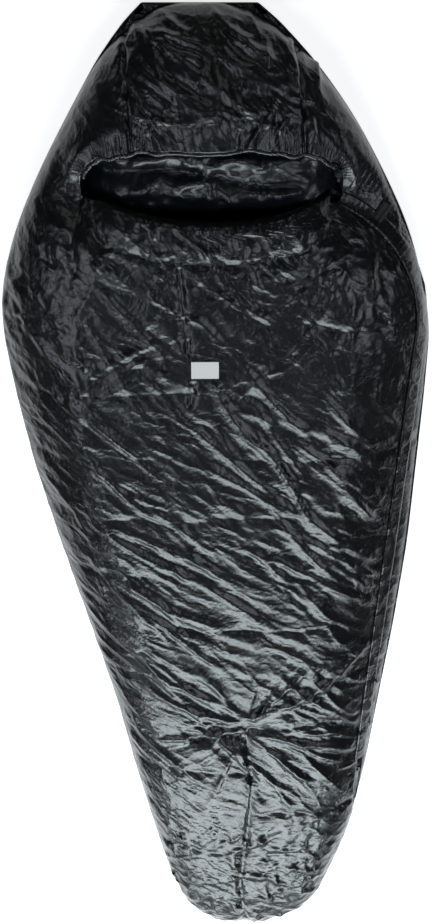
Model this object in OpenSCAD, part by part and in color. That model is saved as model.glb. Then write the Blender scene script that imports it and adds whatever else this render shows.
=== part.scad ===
/* [Bag] */
// Length from the top of the hood to the foot, lying flat
bag_l = 2130; // [1775:1:2556]
// Widest width, across the shoulders, lying flat
bag_w = 764; // [636:1:920]
// Height of the crown over the chest
crown_h = 128; // [106:1:154]
/* [Quilts] */
// Thickness of a quilt, from shell to lining
quilt_t = 38; // [31:0.5:46]
// Thickness of the shell and lining cloth, as drawn
cloth_t = 1.5; // [1:0.1:2]
// Share of a quilt's thickness that is lost at its sewn edge
edge_thin = 0.4; // [0.3:0.01:0.5]
// How far the back quilt's edge lifts off the ground
edge_lift = 14; // [11:1:17]
// Gap between two quilts that move apart
quilt_gap = 2; // [1:0.1:4]
// Length over which the foot and the hood's top round down
end_round = 150; // [125:1:180]
/* [Face opening] */
// Width of the face opening
face_w = 430; // [358:1:516]
// How far the opening's middle lies to the right of the bag's middle
face_x = -7.5; // [-20:0.5:20]
// How far the chin edge dips between its corners
chin_dip = 50; // [42:1:60]
// Height of the brow edge above the neck line
brow_rise = 83; // [69:1:100]
/* [Hood] */
// Height of the line that the hood tilts about
hood_pivot_z = 45; // [38:1:54]
// How far the hood tilts up, in degrees
hood_tilt = 30; // [25:1:36]
// Outer radius of the drawcord channel
channel_r = 5; // [4.2:0.1:6]
// Radius of the drawcord
cord_r = 1.6; // [1.3:0.1:1.9]
// Gap around the drawcord
cord_clear = 0.6; // [0.5:0.1:0.7]
/* [Cord lock] */
// Radius of the cord lock's barrel
lock_r = 6.5; // [6.3:0.1:7.8]
// Thickness of the barrel's floor
barrel_floor = 2; // [1.6:0.1:2.4]
// Radius of the plunger
plunger_r = 4; // [3.6:0.1:4.8]
// Travel of the plunger
plunger_travel = 4; // [3.3:0.1:4.8]
// Gap around the plunger
plunger_clear = 0.35; // [0.3:0.05:0.45]
/* [Zip] */
// Distance of the zip line inside the bag's right edge
zip_inset = 16; // [13.3:0.1:19.2]
// Width of the slot between the two tapes' quilts
slot_w = 14; // [13.5:0.1:16.8]
// Width of one coil
coil_w = 2.4; // [2:0.1:2.9]
// Gap between the two coils
coil_gap = 1.6; // [1.4:0.1:1.9]
// Height of a coil
coil_h = 2.4; // [2:0.1:2.8]
// Thickness of the tape
tape_t = 0.8; // [0.6:0.1:0.96]
/* [Zip sliders] */
// Length of a slider along the zip
slider_l = 12; // [10:0.5:14]
// Width of a slider
slider_w = 10; // [9.8:0.1:11.4]
// Thickness of a slider's plates
slider_plate = 1.2; // [1:0.1:1.4]
// Gap between a slider and the coils
slider_clear = 0.4; // [0.33:0.01:0.48]
// Length of a pull tab
pull_l = 26; // [22:1:31]
// Width of a pull tab
pull_w = 6; // [5:0.1:7.2]
/* [Trim] */
// Width of the chest label
label_w = 48; // [40:1:57]
// Height of the chest label
label_h = 32; // [27:1:38]
// How many of the flap's rows make up the neck baffle
neck_rows = 3; // [2:1:4]
// How far the draft tube reaches in from the flap's edge
draft_w = 42; // [35:1:50]
// Thickness of the draft tube
draft_t = 12; // [10:0.5:14]
// Length of the closure tab
tab_l = 30; // [26:1:36]
// Width of the closure tab
tab_w = 18; // [15:1:21]

/* [Hidden] */

shell_color = [0.07, 0.075, 0.08];
lining_color = [0.10, 0.10, 0.11];
fill_color = [0.85, 0.85, 0.83];
trim_color = [0.03, 0.03, 0.035];

// The bag's plan, as shares of its length and of half its width: half-width and middle line.
HALF = [
    [-0.5, 0.157], [-0.465, 0.395], [-0.418, 0.492], [-0.347, 0.589], [-0.2535, 0.675],
    [-0.16, 0.741], [-0.066, 0.822], [0.028, 0.898], [0.122, 0.955], [0.1925, 0.9843],
    [0.249, 0.9975], [0.286, 0.961], [0.333, 0.874], [0.38, 0.741], [0.427, 0.584],
    [0.474, 0.395], [0.5, 0.236]];
MIDDLE = [
    [-0.5, 0.157], [-0.465, 0.204], [-0.418, 0.209], [-0.347, 0.215], [-0.2535, 0.199],
    [-0.16, 0.175], [-0.066, 0.139], [0.028, 0.094], [0.122, 0.042], [0.1925, 0.0157],
    [0.249, -0.0025], [0.286, -0.018], [0.333, -0.018], [0.427, -0.026], [0.5, -0.068]];
// Share of the crown's rise over two flat quilts, along the bag's length
CROWN = [
    [-0.5, 0.06], [-0.45, 0.45], [-0.4, 0.57], [-0.2, 0.74], [0, 0.91], [0.15, 1],
    [0.3, 0.95], [0.36, 0.86], [0.42, 0.74], [0.48, 0.49], [0.5, 0.31]];
BODY_ROWS = [
    -0.5, -0.488, -0.465, -0.44, -0.418, -0.38, -0.347, -0.3, -0.2535, -0.207, -0.16, -0.113,
    -0.066, -0.02, 0.028, 0.075, 0.122, 0.1575, 0.1925, 0.249, 0.286, 0.333];

foot_y = -bag_l / 2;
head_y = bag_l / 2;
neck_y = 0.364 * bag_l;
shoulder_y = 0.25 * bag_l;
body_gap = quilt_gap / 2;
seam_z = edge_lift + quilt_t * (1 - edge_thin);
edge_top = seam_z + quilt_t * (1 - edge_thin);

function mix(a, b, f) = a + (b - a) * f;
function half_w(y) = bag_w / 2 * lookup(y / bag_l, HALF);
function mid_x(y) = bag_w / 2 * lookup(y / bag_l, MIDDLE);
function left_x(y) = mid_x(y) - half_w(y);
function right_x(y) = mid_x(y) + half_w(y);
function crown_rise(y) = (crown_h - seam_z - quilt_t) * lookup(y / bag_l, CROWN);

// How near a point is to the sewn edge: 0 in the middle of the bag and 1 at the edge
function end_share(y) = max(0, 1 - (y - foot_y) / end_round, 1 - (head_y - y) / end_round);
function edge_share(x, y, lo, hi) =
    let (s = (2 * x - lo - hi) / (hi - lo)) min(1, pow(pow(s, 4) + pow(end_share(y), 4), 0.25));
function quilt_at(m) = quilt_t * (1 - edge_thin * pow(m, 6));

// Back quilt: flat on the ground, lifting towards its edge
back_m = function(p) edge_share(p.x, p.y, left_x(p.y), right_x(p.y));
back_low = function(p) edge_lift * pow(max(0, (back_m(p) - 0.7) / 0.3), 3);
back_top = function(p) back_low(p) + quilt_at(back_m(p));

// Zip: a straight run up the right side and an arc from the shoulder to the opening's corner
corner_l = [face_x - face_w / 2, neck_y - body_gap];
corner_r = [face_x + face_w / 2, neck_y - slot_w / 2 - body_gap];
zip_top_x = right_x(shoulder_y) - zip_inset;
zip_end_y = -0.26 * bag_l;
arc_dx = zip_top_x - corner_r.x;
arc_dy = corner_r.y - shoulder_y;
arc_r = (arc_dx * arc_dx + arc_dy * arc_dy) / (2 * arc_dx);
arc_c = [zip_top_x - arc_r, shoulder_y];
arc_end = asin(arc_dy / arc_r);
zip_lean = atan((zip_top_x - right_x(zip_end_y) + zip_inset) / (shoulder_y - zip_end_y));
run_dir = [-sin(zip_lean), -cos(zip_lean)];
run_out = [cos(zip_lean), -sin(zip_lean)];
run_top = arc_c + arc_r * run_out;
run_l = (run_top.y - zip_end_y) / cos(zip_lean);
flap_foot_y = -0.094 * bag_l;
flap_run = (run_top.y - flap_foot_y) / cos(zip_lean);
slot_tail = pull_l + slider_l + 12;
zip_z = (seam_z + edge_top) / 2;

function run_pt(a, off) = run_top + a * run_dir + off * run_out;
function arc_pt(angle, off) = arc_c + (arc_r + off) * [cos(angle), sin(angle)];
function arc_deg(length) = length / arc_r * 180 / PI;
function zip_x(y, off) =
    let (start = run_top + off * run_out)
    y < start.y ? start.x + (y - start.y) * tan(zip_lean)
                : arc_c.x + sqrt(max(1, pow(arc_r + off, 2) - pow(y - arc_c.y, 2)));
RUN_STEPS = 10;
ARC_STEPS = 10;
function rail(off, from_a) = [
    for (i = [0:RUN_STEPS - 1]) run_pt(from_a * (1 - i / RUN_STEPS), off),
    for (i = [0:ARC_STEPS]) arc_pt(mix(-zip_lean, arc_end, i / ARC_STEPS), off)];

// Fold line: where the opened front turns back, from the opening's left corner to the zip's end
run_end = run_pt(run_l, 0);
function fold_x(y) = mix(corner_l.x, run_end.x, (corner_l.y - y) / (corner_l.y - run_end.y));

// Front quilt and flap: a crowned quilt from the left edge to the zip
slot_end_y = run_pt(run_l + slot_tail, 0).y;
slot_fade = 120;
function top_right(y) =
    y > slot_end_y ? zip_x(y, -slot_w / 2)
    : mix(right_x(y), zip_x(y, -slot_w / 2), max(0, 1 - (slot_end_y - y) / slot_fade));
top_m = function(p) edge_share(p.x, p.y, left_x(p.y), top_right(p.y));
function crowned(m, y) = seam_z + crown_rise(y) * sqrt(max(0, 1 - pow(m, 2.6)));
top_low = function(p) crowned(top_m(p), p.y);
top_high = function(p) top_low(p) + quilt_at(top_m(p));
hood_low = function(p) crowned(back_m(p), p.y);
hood_high = function(p) hood_low(p) + quilt_at(back_m(p));

// Layers of a quilt: cloth on both faces and the fill between them
function plus(f, d) = function(p) f(p) + d;

// A closed solid between two height maps over a plan of rows of points. A point's third value
// is how far it leans back over the line that the hood tilts about.
function lean_y(p, z) =
    p.y + (len(p) > 2 ? p.z * max(0, z - hood_pivot_z) * tan(hood_tilt) : 0);
module slab(plan, low, high) {
    rows = len(plan);
    cols = len(plan[0]);
    count = rows * cols;
    function at(i, j) = i * cols + j;
    lows = [for (row = plan) for (p = row) let (z = low(p)) [p.x, lean_y(p, z), z]];
    highs = [for (row = plan) for (p = row) let (z = high(p)) [p.x, lean_y(p, z), z]];
    faces = [
        for (i = [0:rows - 2]) for (j = [0:cols - 2])
            let (a = at(i, j), b = at(i + 1, j), c = at(i + 1, j + 1), d = at(i, j + 1))
            each [
                [a, c, b], [a, d, c],
                [a + count, b + count, c + count], [a + count, c + count, d + count]],
        for (j = [0:cols - 2])
            let (a = at(0, j), b = at(0, j + 1), c = at(rows - 1, j), d = at(rows - 1, j + 1))
            each [
                [a, a + count, b + count], [a, b + count, b],
                [d, d + count, c + count], [d, c + count, c]],
        for (i = [0:rows - 2])
            let (a = at(i, 0), b = at(i + 1, 0), c = at(i, cols - 1), d = at(i + 1, cols - 1))
            each [
                [b, b + count, a + count], [b, a + count, a],
                [c, c + count, d + count], [c, d + count, d]]];
    polyhedron(concat(lows, highs), faces, convexity = 8);
}
function spread(a, b, cols) = [for (j = [0:cols]) mix(a, b, j / cols)];

BACK_COLS = [-1, -0.94, -0.85, -0.7, -0.45, -0.2, 0, 0.2, 0.45, 0.7, 0.85, 0.94, 1];
function back_row(y) = [for (s = BACK_COLS) [mid_x(y) + s * half_w(y), y]];
back_plan = [
    for (f = BODY_ROWS) back_row(f * bag_l),
    back_row(neck_y - body_gap)];

// The front quilt is cut back to the fold line where the flap opens
FRONT_COLS = [0, 0.03, 0.09, 0.2, 0.36, 0.52, 0.68, 0.84, 0.94, 1];
function front_row(y, right) = [for (f = FRONT_COLS) [mix(left_x(y), right, f), y]];
front_plan = [
    for (f = BODY_ROWS) if (f * bag_l < slot_end_y - 5)
        front_row(f * bag_l, top_right(f * bag_l)),
    front_row(slot_end_y, top_right(slot_end_y)),
    for (f = BODY_ROWS) if (f * bag_l > slot_end_y + 5 && f * bag_l < flap_foot_y - 40)
        front_row(f * bag_l, top_right(f * bag_l)),
    front_row(flap_foot_y - body_gap, top_right(flap_foot_y)),
    front_row(flap_foot_y, fold_x(flap_foot_y) - body_gap),
    for (f = BODY_ROWS) if (f * bag_l > flap_foot_y + 10)
        front_row(f * bag_l, fold_x(f * bag_l) - body_gap),
    front_row(corner_l.y, corner_l.x - body_gap)];

// Rows of the flap run from the fold line to the zip, and dip along the chin
// The last columns are closer, and the draft tube lies under them.
FLAP_MAIN = [0, 0.14, 0.28, 0.42, 0.56, 0.7, 0.85, 1];
FLAP_EDGE = [0.3, 0.6, 0.85, 1];
flap_rail = rail(-slot_w / 2, flap_run - body_gap);
function flap_row(i) =
    let (
        right = flap_rail[i],
        f = (right.y - flap_rail[0].y) / (flap_rail[RUN_STEPS + ARC_STEPS].y - flap_rail[0].y),
        y = mix(flap_foot_y + quilt_gap, corner_l.y, f),
        left = [fold_x(y) + body_gap, y],
        inner = 1 - draft_w / norm(right - left),
        cols = concat(inner * FLAP_MAIN, [for (e = FLAP_EDGE) mix(inner, 1, e)]))
    [for (u = cols) mix(left, right, u) - [0, chin_dip * 4 * u * (1 - u) * pow(f, 4)]];
flap_rows = RUN_STEPS + ARC_STEPS - neck_rows;
flap_plan = [for (i = [0:flap_rows]) flap_row(i)];
neck_plan = [for (i = [flap_rows:RUN_STEPS + ARC_STEPS]) flap_row(i)];

// Hood: the back quilt goes on past the neck, and the top runs from the brow to the hood's edge
hood_start_y = neck_y + body_gap;
HOOD_ROWS = [0, 0.16, 0.32, 0.48, 0.62, 0.75, 0.87, 0.95, 1];
hood_back_plan = [for (f = HOOD_ROWS) back_row(mix(hood_start_y, head_y, f))];
BROW_X = 0.6;
BROW_Y = 0.55;
function brow_pt(u, inside) =
    let (c = cos(180 * (1 - u)), s = sin(180 * (1 - u)))
    [face_x + (face_w / 2 + 2 - inside) * sign(c) * pow(abs(c), BROW_X),
     hood_start_y + (brow_rise - inside) * pow(abs(s), BROW_Y)];
SIDE_SHARE = 0.4;
function rim_pt(u) =
    u <= SIDE_SHARE ? let (y = mix(hood_start_y, head_y, u / SIDE_SHARE)) [left_x(y), y]
    : u >= 1 - SIDE_SHARE
        ? let (y = mix(hood_start_y, head_y, (1 - u) / SIDE_SHARE)) [right_x(y), y]
    : [mix(left_x(head_y), right_x(head_y), (u - SIDE_SHARE) / (1 - 2 * SIDE_SHARE)), head_y];
NECK_LEAN = 0.08;
function hood_top_pt(u, v) =
    let (p = mix(brow_pt(u, 0), rim_pt(u), v), w = max(0, 1 - min(u, 1 - u) / NECK_LEAN))
    [p.x, p.y, w];
HOOD_U = [
    0, 0.04, 0.08, 0.14, 0.2, 0.26, 0.31, 0.36, 0.4, 0.46, 0.54, 0.6, 0.64, 0.68, 0.74, 0.8,
    0.86, 0.92, 0.96, 1];
HOOD_V = [0, 0.2, 0.4, 0.6, 0.8, 0.93, 1];
PANEL_SEAMS = [0.36, 0.68];
module hood_slab(from, to, low, high) {
    plan = [for (v = HOOD_V) [for (u = HOOD_U) if (u >= from && u <= to) hood_top_pt(u, v)]];
    slab(plan, low, high);
}

module back_shell() { color(shell_color) slab(back_plan, back_low, plus(back_low, cloth_t)); }
module back_fill() {
    color(fill_color) slab(back_plan, plus(back_low, cloth_t), plus(back_top, -cloth_t));
}
module back_lining() { color(lining_color) slab(back_plan, plus(back_top, -cloth_t), back_top); }

module front_shell() { color(shell_color) slab(front_plan, plus(top_high, -cloth_t), top_high); }
// The fill is in chambers between cross seams, and each node is a group of them
module fill(plan, from, to) {
    rows = [for (i = [from:to]) plan[i]];
    color(fill_color) slab(rows, plus(top_low, cloth_t), plus(top_high, -cloth_t));
}
FRONT_CUTS = [0, 4, 8, 13];
module front_fill_foot() { fill(front_plan, FRONT_CUTS[0], FRONT_CUTS[1]); }
module front_fill_lower() { fill(front_plan, FRONT_CUTS[1], FRONT_CUTS[2]); }
module front_fill_mid() { fill(front_plan, FRONT_CUTS[2], FRONT_CUTS[3]); }
module front_fill_upper() { fill(front_plan, FRONT_CUTS[3], len(front_plan) - 1); }
module front_lining() { color(lining_color) slab(front_plan, top_low, plus(top_low, cloth_t)); }

module flap_shell() { color(shell_color) slab(flap_plan, plus(top_high, -cloth_t), top_high); }
flap_cut = 8;
module flap_fill_lower() { fill(flap_plan, 0, flap_cut); }
module flap_fill_upper() { fill(flap_plan, flap_cut, flap_rows); }
module flap_lining() { color(lining_color) slab(flap_plan, top_low, plus(top_low, cloth_t)); }
module neck_baffle() { color(shell_color) slab(neck_plan, top_low, top_high); }

// Closure tab over the top of the zip, and the patch on the wall that it presses onto
tab_arc = arc_end - 16;
tab_gap = 0.8;
tab_t = 1.6;
patch_from = slot_w / 2 + 2;
patch_to = tab_l - slot_w / 2 - 4;
patch_t = 0.5;

// The wall between the zip and the bag's right edge, standing on the back quilt, and level
// next to the zip as far as the patch reaches
wall_seat = 0.3;
level_w = (patch_to - slot_w / 2 + 3) / cos(tab_arc);
wall_rail = rail(slot_w / 2, run_l + slot_tail - 8);
function wall_share(p) =
    let (inner = zip_x(p.y, slot_w / 2), w = right_x(p.y) - inner, level = min(level_w, w / 2))
    min(1, max(0, (p.x - inner - level) / (w - level)));
wall_top = function(p) mix(edge_top, seam_z + 8, pow(wall_share(p), 2));
module side_wall() {
    plan = [for (p = wall_rail) spread(p, [right_x(p.y), p.y], 3)];
    color(shell_color) slab(plan, plus(back_top, wall_seat), wall_top);
}

// Draft tube: a soft tube under the flap, just behind the zip
module draft_tube() {
    first = len(FLAP_MAIN) - 1;
    last = first + len(FLAP_EDGE) - 1;
    plan = [for (i = [1:flap_rows]) [for (j = [first:last]) flap_plan[i][j]]];
    low = function(p) max(back_top(p) + quilt_gap, top_low(p) - draft_t);
    color(lining_color) slab(plan, low, top_low);
}

// A bar that follows the zip, between two distances from its middle and two heights
module zip_bar(x0, x1, z0, z1, run_from, run_to, arc_to) {
    if (run_to > run_from)
        translate([run_top.x, run_top.y, z0]) rotate([0, 0, -zip_lean])
            translate([x0, -run_to, 0]) cube([x1 - x0, run_to - run_from, z1 - z0]);
    if (arc_to > -zip_lean)
        translate([arc_c.x, arc_c.y, z0]) rotate([0, 0, -zip_lean])
            rotate_extrude(angle = arc_to + zip_lean, $fn = 360)
                translate([arc_r + x0, 0]) square([x1 - x0, z1 - z0]);
}
coil_in = coil_gap / 2;
coil_out = coil_in + coil_w;
park_l = 8;
slider_arc = arc_end - arc_deg(park_l);
front_arc_end = slider_arc - arc_deg(slider_l / 2 + 1.5);
tape_out = slot_w / 2 - 0.6;
module tape(side, run_from, run_to, arc_to) {
    x0 = side > 0 ? coil_out : -tape_out;
    color(trim_color)
        zip_bar(x0, x0 + tape_out - coil_out, zip_z - tape_t / 2, zip_z + tape_t / 2,
            run_from, run_to, arc_to);
}
module coil(side, run_from, run_to, arc_to) {
    x0 = side > 0 ? coil_in : -coil_out;
    color(trim_color)
        zip_bar(x0, x0 + coil_w, zip_z - coil_h / 2, zip_z + coil_h / 2,
            run_from, run_to, arc_to);
}
module zip_tape_back() { tape(1, 0, run_l, arc_end); }
module zip_coil_back() { coil(1, 0, run_l, arc_end); }
module zip_tape_foot() { tape(-1, flap_run + body_gap, run_l, -zip_lean - 1); }
module zip_coil_foot() { coil(-1, flap_run + body_gap, run_l, -zip_lean - 1); }
module zip_tape_front() { tape(-1, 0, flap_run - quilt_gap, front_arc_end); }
module zip_coil_front() { coil(-1, 0, flap_run - quilt_gap, front_arc_end); }

stop_l = 1.2;
module zip_stops() {
    color("dimgray") {
        translate([run_top.x, run_top.y, 0]) rotate([0, 0, -zip_lean])
            translate([-coil_out, -run_l - stop_l, zip_z - coil_h / 2])
                cube([2 * coil_out, stop_l, coil_h]);
        translate([arc_c.x, arc_c.y, 0]) rotate([0, 0, arc_end])
            translate([arc_r + coil_in, 0, zip_z - coil_h / 2]) cube([coil_w, stop_l, coil_h]);
    }
}

// A slider, centred on the zip and pointing along +Y: two plates on a thin post
plate_z = coil_h / 2 + slider_clear;
plate_top = plate_z + slider_plate;
flange_in = coil_out + slider_clear;
post_w = coil_gap - 2 * 0.3;
pull_eye_r = 1.6;
pull_hole_r = 0.9;
pull_pin_r = 0.6;
pull_t = 1.2;
pin_z = plate_top + pull_eye_r + slider_clear;
ear_x = 1.8;
ear_w = 1;
module slider() {
    color("dimgray") {
        for (up = [0, 1]) mirror([0, 0, up]) {
            translate([-slider_w / 2, -slider_l / 2, plate_z])
                cube([slider_w, slider_l, slider_plate]);
            for (right = [0, 1]) mirror([right, 0, 0])
                translate([flange_in, -slider_l / 2, tape_t / 2 + slider_clear])
                    cube([slider_w / 2 - flange_in, slider_l,
                        plate_z - tape_t / 2 - slider_clear]);
        }
        translate([-post_w / 2, -2, -plate_z]) cube([post_w, 4, 2 * plate_z]);
        for (right = [0, 1]) mirror([right, 0, 0])
            translate([ear_x, -1.5, plate_top]) cube([ear_w, 3, pin_z - plate_top + 1.2]);
        translate([-ear_x, 0, pin_z]) rotate([0, 90, 0])
            cylinder(r = pull_pin_r, h = 2 * ear_x, $fn = 32);
    }
}
// A pull tab, lying flat beyond the slider along +Y
module pull() {
    eye_w = 2 * (ear_x - 0.4);
    color("gray") difference() {
        union() {
            translate([-eye_w / 2, 0, pin_z]) rotate([0, 90, 0])
                cylinder(r = pull_eye_r, h = eye_w, $fn = 32);
            translate([-eye_w / 2, pull_hole_r + 0.2, pin_z - pull_t / 2])
                cube([eye_w, 5, pull_t]);
            translate([-pull_w / 2, 4, pin_z - pull_t / 2]) cube([pull_w, pull_l - 4, pull_t]);
        }
        translate([-eye_w, 0, pin_z]) rotate([0, 90, 0])
            cylinder(r = pull_hole_r, h = 2 * eye_w, $fn = 32);
        translate([0, pull_l - 4, pin_z - pull_t]) cylinder(r = 1.5, h = 2 * pull_t, $fn = 32);
    }
}
module at_top_slider() {
    p = arc_pt(slider_arc, 0);
    translate([p.x, p.y, zip_z]) rotate([0, 0, slider_arc]) children();
}
module at_foot_slider() {
    p = run_pt(run_l - park_l, 0);
    translate([p.x, p.y, zip_z]) rotate([0, 0, 180 - zip_lean]) children();
}
module slider_top() { at_top_slider() slider(); }
module pull_top() { at_top_slider() pull(); }
module slider_foot() { at_foot_slider() slider(); }
module pull_foot() { at_foot_slider() pull(); }

module closure_tab() {
    p = arc_pt(tab_arc, -slot_w / 2 + 0.5);
    color(trim_color) translate([p.x, p.y, edge_top + tab_gap]) rotate([0, 0, tab_arc])
        translate([0, -tab_w / 2, 0]) cube([tab_l, tab_w, tab_t]);
}
module loop_patch() {
    plan = [for (k = [0:3]) let (angle = tab_arc + arc_deg(tab_w * (k / 3 - 0.5)))
        spread(arc_pt(angle, patch_from), arc_pt(angle, patch_to), 2)];
    color("dimgray") slab(plan, wall_top, plus(wall_top, patch_t));
}

label_pos = [mid_x(0.2245 * bag_l) - 22, 0.2245 * bag_l];
label_t = 0.8;
module chest_label() {
    plan = [for (y = [-1, 0, 1]) [for (x = [-1, 0, 1])
        label_pos + [x * label_w / 2, y * label_h / 2]]];
    color("white") slab(plan, plus(top_high, 0.1), plus(top_high, label_t));
}

module hood_back_shell() {
    color(shell_color) slab(hood_back_plan, back_low, plus(back_low, cloth_t));
}
module hood_back_fill() {
    color(fill_color) slab(hood_back_plan, plus(back_low, cloth_t), plus(back_top, -cloth_t));
}
module hood_back_lining() {
    color(lining_color) slab(hood_back_plan, plus(back_top, -cloth_t), back_top);
}
module hood_panel(from, to) {
    color(shell_color) hood_slab(from, to, plus(hood_high, -cloth_t), hood_high);
}
module hood_panel_left() { hood_panel(0, PANEL_SEAMS[0]); }
module hood_panel_centre() { hood_panel(PANEL_SEAMS[0], PANEL_SEAMS[1]); }
module hood_panel_right() { hood_panel(PANEL_SEAMS[1], 1); }
module hood_fill() {
    color(fill_color) hood_slab(0, 1, plus(hood_low, cloth_t), plus(hood_high, -cloth_t));
}
module hood_lining() { color(lining_color) hood_slab(0, 1, hood_low, plus(hood_low, cloth_t)); }

// Brow channel: a cloth tube along the brow edge that holds the drawcord
CHANNEL_FROM = 0.08;
CHANNEL_TO = 0.86;
CHANNEL_STEPS = 26;
channel_drop = 9;
function channel_pt(u) =
    let (edge = brow_pt(u, 0), p = brow_pt(u, channel_r + 1))
    [p.x, p.y, hood_high(edge) - channel_drop];
channel_path = [for (k = [0:CHANNEL_STEPS])
    channel_pt(mix(CHANNEL_FROM, CHANNEL_TO, k / CHANNEL_STEPS))];
lock_at = let (last = channel_path[CHANNEL_STEPS]) [last.x + 6, last.y - lock_r - 3, last.z];
bead_l = 5;
cord_path = concat(channel_path, [
    [lock_at.x, lock_at.y + lock_r + 1, lock_at.z],
    [lock_at.x, lock_at.y - lock_r - 1.5, lock_at.z]]);

function unit(v) = v / norm(v);
function along(path, k) = unit(path[min(k + 1, len(path) - 1)] - path[max(k - 1, 0)]);
function ring(path, k, r, sides) =
    let (t = along(path, k), n = unit(cross(t, [0, 0, 1])), b = cross(n, t))
    [for (a = [0:sides - 1]) path[k] + r * (cos(360 * a / sides) * n + sin(360 * a / sides) * b)];
module rope(path, r, sides) {
    last = len(path) - 1;
    points = [for (k = [0:last]) each ring(path, k, r, sides)];
    faces = [
        [for (a = [0:sides - 1]) a],
        [for (a = [sides - 1:-1:0]) last * sides + a],
        for (k = [0:last - 1]) for (a = [0:sides - 1])
            let (p = k * sides + a, q = k * sides + (a + 1) % sides)
            each [[p, p + sides, q + sides], [p, q + sides, q]]];
    polyhedron(points, faces, convexity = 8);
}
module sleeve(path, r_out, r_in, sides) {
    last = len(path) - 1;
    count = (last + 1) * sides;
    points = concat([for (k = [0:last]) each ring(path, k, r_out, sides)],
        [for (k = [0:last]) each ring(path, k, r_in, sides)]);
    faces = [for (a = [0:sides - 1])
        let (b = (a + 1) % sides, e = last * sides)
        each [
            [a, b, b + count], [a, b + count, a + count],
            [e + b, e + a, e + a + count], [e + b, e + a + count, e + b + count],
            for (k = [0:last - 1]) let (p = k * sides + a, q = k * sides + b)
                each [
                    [p, p + sides, q + sides], [p, q + sides, q],
                    [p + count, q + count, q + sides + count],
                    [p + count, q + sides + count, p + sides + count]]]];
    polyhedron(points, faces, convexity = 8);
}
module brow_channel() {
    color(shell_color) sleeve(channel_path, channel_r, cord_r + cord_clear, 10);
}
module drawcord() { color(trim_color) rope(cord_path, cord_r, 8); }
module cord_end() {
    color(trim_color) translate([lock_at.x, lock_at.y - lock_r - 1.5, lock_at.z])
        rotate([90, 0, 0]) cylinder(r = 2.6, h = bead_l, $fn = 40);
}

// Cord lock: a barrel with the cord through it, and a sprung plunger that pinches the cord
cord_hole_r = cord_r + cord_clear;
plunger_hole_r = cord_r + 0.3;
plunger_bottom = -cord_r - 2;
plunger_top = cord_hole_r + 2 + plunger_travel + 1;
barrel_bottom = plunger_bottom - plunger_travel - 3 - barrel_floor;
barrel_h = cord_hole_r + 2 - barrel_bottom;
module cord_lock_barrel() {
    color(trim_color) translate(lock_at) difference() {
        translate([0, 0, barrel_bottom]) cylinder(r = lock_r, h = barrel_h, $fn = 64);
        translate([0, 0, barrel_bottom + barrel_floor])
            cylinder(r = plunger_r + plunger_clear, h = barrel_h, $fn = 64);
        translate([0, lock_r + 1, 0]) rotate([90, 0, 0])
            cylinder(r = cord_hole_r, h = 2 * lock_r + 2, $fn = 40);
    }
}
module cord_lock_spring() {
    turns_h = plunger_bottom - barrel_bottom - barrel_floor;
    color("silver") translate([lock_at.x, lock_at.y, lock_at.z + barrel_bottom + barrel_floor])
        difference() {
            cylinder(r = 2.6, h = turns_h, $fn = 48);
            translate([0, 0, -1]) cylinder(r = 1.9, h = turns_h + 2, $fn = 48);
        }
}
module cord_lock_plunger() {
    color(trim_color) translate(lock_at) difference() {
        translate([0, 0, plunger_bottom])
            cylinder(r = plunger_r, h = plunger_top - plunger_bottom, $fn = 64);
        for (z = [0, plunger_travel])
            translate([0, plunger_r + 1, z]) rotate([90, 0, 0])
                cylinder(r = plunger_hole_r, h = 2 * plunger_r + 2, $fn = 40);
        translate([-plunger_hole_r, -plunger_r - 1, 0])
            cube([2 * plunger_hole_r, 2 * plunger_r + 2, plunger_travel]);
    }
}

back_shell();
back_fill();
back_lining();
front_shell();
front_fill_foot();
front_fill_lower();
front_fill_mid();
front_fill_upper();
front_lining();
side_wall();
zip_tape_back();
zip_coil_back();
zip_tape_foot();
zip_coil_foot();
zip_stops();
loop_patch();
flap_shell();
flap_fill_lower();
flap_fill_upper();
flap_lining();
neck_baffle();
draft_tube();
zip_tape_front();
zip_coil_front();
chest_label();
closure_tab();
hood_back_shell();
hood_back_fill();
hood_back_lining();
hood_panel_left();
hood_panel_centre();
hood_panel_right();
hood_fill();
hood_lining();
brow_channel();
drawcord();
cord_end();
cord_lock_barrel();
cord_lock_spring();
cord_lock_plunger();
slider_top();
pull_top();
slider_foot();
pull_foot();
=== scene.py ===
"""Mummy sleeping bag: the look of the CAD frame, in metres."""
import bpy
import math
import numpy as np
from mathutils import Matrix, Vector


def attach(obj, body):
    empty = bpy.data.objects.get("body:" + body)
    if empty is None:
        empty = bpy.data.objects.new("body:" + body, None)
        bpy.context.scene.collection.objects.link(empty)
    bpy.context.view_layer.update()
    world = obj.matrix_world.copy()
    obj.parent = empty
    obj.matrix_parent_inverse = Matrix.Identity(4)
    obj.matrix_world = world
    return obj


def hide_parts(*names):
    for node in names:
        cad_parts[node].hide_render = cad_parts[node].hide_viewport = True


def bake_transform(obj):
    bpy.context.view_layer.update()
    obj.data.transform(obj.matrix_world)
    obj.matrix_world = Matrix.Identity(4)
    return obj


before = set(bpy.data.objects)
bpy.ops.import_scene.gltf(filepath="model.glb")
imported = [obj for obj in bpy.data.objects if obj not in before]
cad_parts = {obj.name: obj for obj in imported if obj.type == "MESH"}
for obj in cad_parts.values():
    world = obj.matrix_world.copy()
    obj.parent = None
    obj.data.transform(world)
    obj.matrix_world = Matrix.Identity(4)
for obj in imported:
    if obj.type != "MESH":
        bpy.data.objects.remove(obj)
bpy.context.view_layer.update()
rng = np.random.default_rng(7)

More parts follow.
